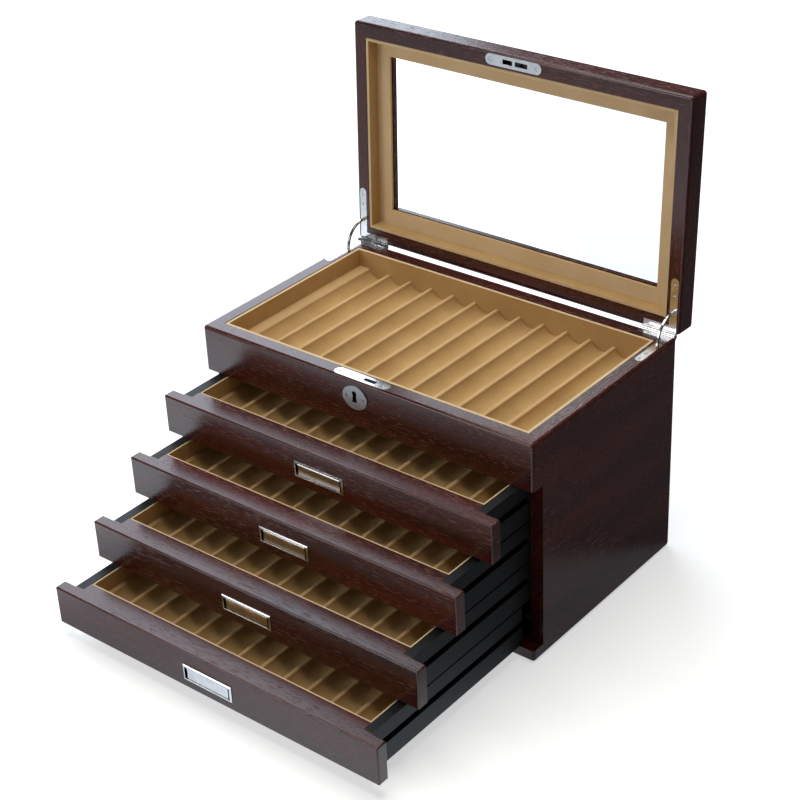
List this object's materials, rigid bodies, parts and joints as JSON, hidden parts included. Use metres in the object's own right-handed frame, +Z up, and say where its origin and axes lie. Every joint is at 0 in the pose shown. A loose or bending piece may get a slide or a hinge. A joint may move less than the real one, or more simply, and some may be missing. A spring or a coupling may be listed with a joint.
{
  "type": "pen collector chest",
  "caption": "Wooden pen chest with scalloped, suede-lined drawers under a lidded top tray with a glass window, lock and stayed hinges.",
  "frame": {"origin": "centre of the underside of the case, on the surface it stands on", "axes": "+X to the right seen from the front, +Y towards the hinges at the back, +Z up"},
  "size_m": [0.34, 0.4342, 0.4079],
  "materials": {
    "wood": "dark reddish-brown open-pore lacquer",
    "drawer_wood": "dark stained, matt",
    "suede": "tan suede cloth over board",
    "glass": "clear float glass",
    "polished_metal": "polished nickel plate",
    "lock_steel": "plain steel"
  },
  "bodies": {
    "case": {"side_panel_left": "wood", "side_panel_right": "wood", "back_panel": "wood", "back_rail": "wood", "base_panel": "wood", "front_rail": "wood", "plinth_rail": "wood", "tray_floor": "drawer_wood", "drawer_runners": "drawer_wood", "top_tray_bed": "suede", "top_tray_lining": "suede", "hinge_case_leaves": "polished_metal", "hinge_pins": "polished_metal", "case_screws": "polished_metal", "lock_box": "lock_steel", "lock_plate": "polished_metal", "escutcheon": "polished_metal", "escutcheon_pins": "polished_metal"},
    "lid": {"lid_front_rail": "wood", "lid_back_rail": "wood", "lid_side_left": "wood", "lid_side_right": "wood", "lid_glass": "glass", "glass_ledge": "suede", "lid_lining": "suede", "hinge_lid_leaves": "polished_metal", "strike_plate": "polished_metal", "lid_screws": "polished_metal"},
    "stay_left": {"hinge_stay_left": "polished_metal"},
    "stay_right": {"hinge_stay_right": "polished_metal"},
    "lock_hook": {"lock_hook": "polished_metal"},
    "drawer_1": {"drawer_front_1": "wood", "drawer_carcass_1": "drawer_wood", "drawer_bottom_1": "drawer_wood", "drawer_bed_1": "suede", "drawer_lining_1": "suede", "pull_frame_1": "polished_metal"},
    "flap_1": {"pull_flap_1": "polished_metal"},
    "drawer_2": {"drawer_front_2": "wood", "drawer_carcass_2": "drawer_wood", "drawer_bottom_2": "drawer_wood", "drawer_bed_2": "suede", "drawer_lining_2": "suede", "pull_frame_2": "polished_metal"},
    "flap_2": {"pull_flap_2": "polished_metal"},
    "drawer_3": {"drawer_front_3": "wood", "drawer_carcass_3": "drawer_wood", "drawer_bottom_3": "drawer_wood", "drawer_bed_3": "suede", "drawer_lining_3": "suede", "pull_frame_3": "polished_metal"},
    "flap_3": {"pull_flap_3": "polished_metal"},
    "drawer_4": {"drawer_front_4": "wood", "drawer_carcass_4": "drawer_wood", "drawer_bottom_4": "drawer_wood", "drawer_bed_4": "suede", "drawer_lining_4": "suede", "pull_frame_4": "polished_metal"},
    "flap_4": {"pull_flap_4": "polished_metal"}
  },
  "joints": [
    {"name": "lid_hinge", "type": "hinge", "parent": "case", "child": "lid", "pos_m": [0, 0.1034, 0.2028], "axis": [-1, 0, 0], "range_deg": [-92.5, 0]},
    {"name": "stay_left_swing", "type": "hinge", "parent": "case", "child": "stay_left", "pos_m": [-0.1635, 0.1034, 0.2028], "axis": [-1, 0, 0], "range_deg": [-46.25, 0]},
    {"name": "stay_right_swing", "type": "hinge", "parent": "case", "child": "stay_right", "pos_m": [0.1635, 0.1034, 0.2028], "axis": [-1, 0, 0], "range_deg": [-46.25, 0]},
    {"name": "lock_hook_turn", "type": "hinge", "parent": "case", "child": "lock_hook", "pos_m": [-0.003, -0.0955, 0.1924], "axis": [0, -1, 0], "range_deg": [0, 54]},
    {"name": "drawer_1_slide", "type": "slide", "parent": "case", "child": "drawer_1", "axis": [0, -1, 0], "range_m": [-0.0525, 0.1425]},
    {"name": "flap_1_swing", "type": "hinge", "parent": "drawer_1", "child": "flap_1", "pos_m": [0, -0.1541, 0.14545], "axis": [-1, 0, 0], "range_deg": [0, 85]},
    {"name": "drawer_2_slide", "type": "slide", "parent": "case", "child": "drawer_2", "axis": [0, -1, 0], "range_m": [-0.098, 0.097]},
    {"name": "flap_2_swing", "type": "hinge", "parent": "drawer_2", "child": "flap_2", "pos_m": [0, -0.1996, 0.1077], "axis": [-1, 0, 0], "range_deg": [0, 85]},
    {"name": "drawer_3_slide", "type": "slide", "parent": "case", "child": "drawer_3", "axis": [0, -1, 0], "range_m": [-0.146, 0.049]},
    {"name": "flap_3_swing", "type": "hinge", "parent": "drawer_3", "child": "flap_3", "pos_m": [0, -0.2476, 0.06995], "axis": [-1, 0, 0], "range_deg": [0, 85]},
    {"name": "drawer_4_slide", "type": "slide", "parent": "case", "child": "drawer_4", "axis": [0, -1, 0], "range_m": [-0.195, 0]},
    {"name": "flap_4_swing", "type": "hinge", "parent": "drawer_4", "child": "flap_4", "pos_m": [0, -0.2966, 0.0322], "axis": [-1, 0, 0], "range_deg": [0, 85]}
  ],
  "couplings": [
    {"joint": "stay_left_swing", "follows": "lid_hinge", "ratio": 0.5},
    {"joint": "stay_right_swing", "follows": "lid_hinge", "ratio": 0.5}
  ]
}
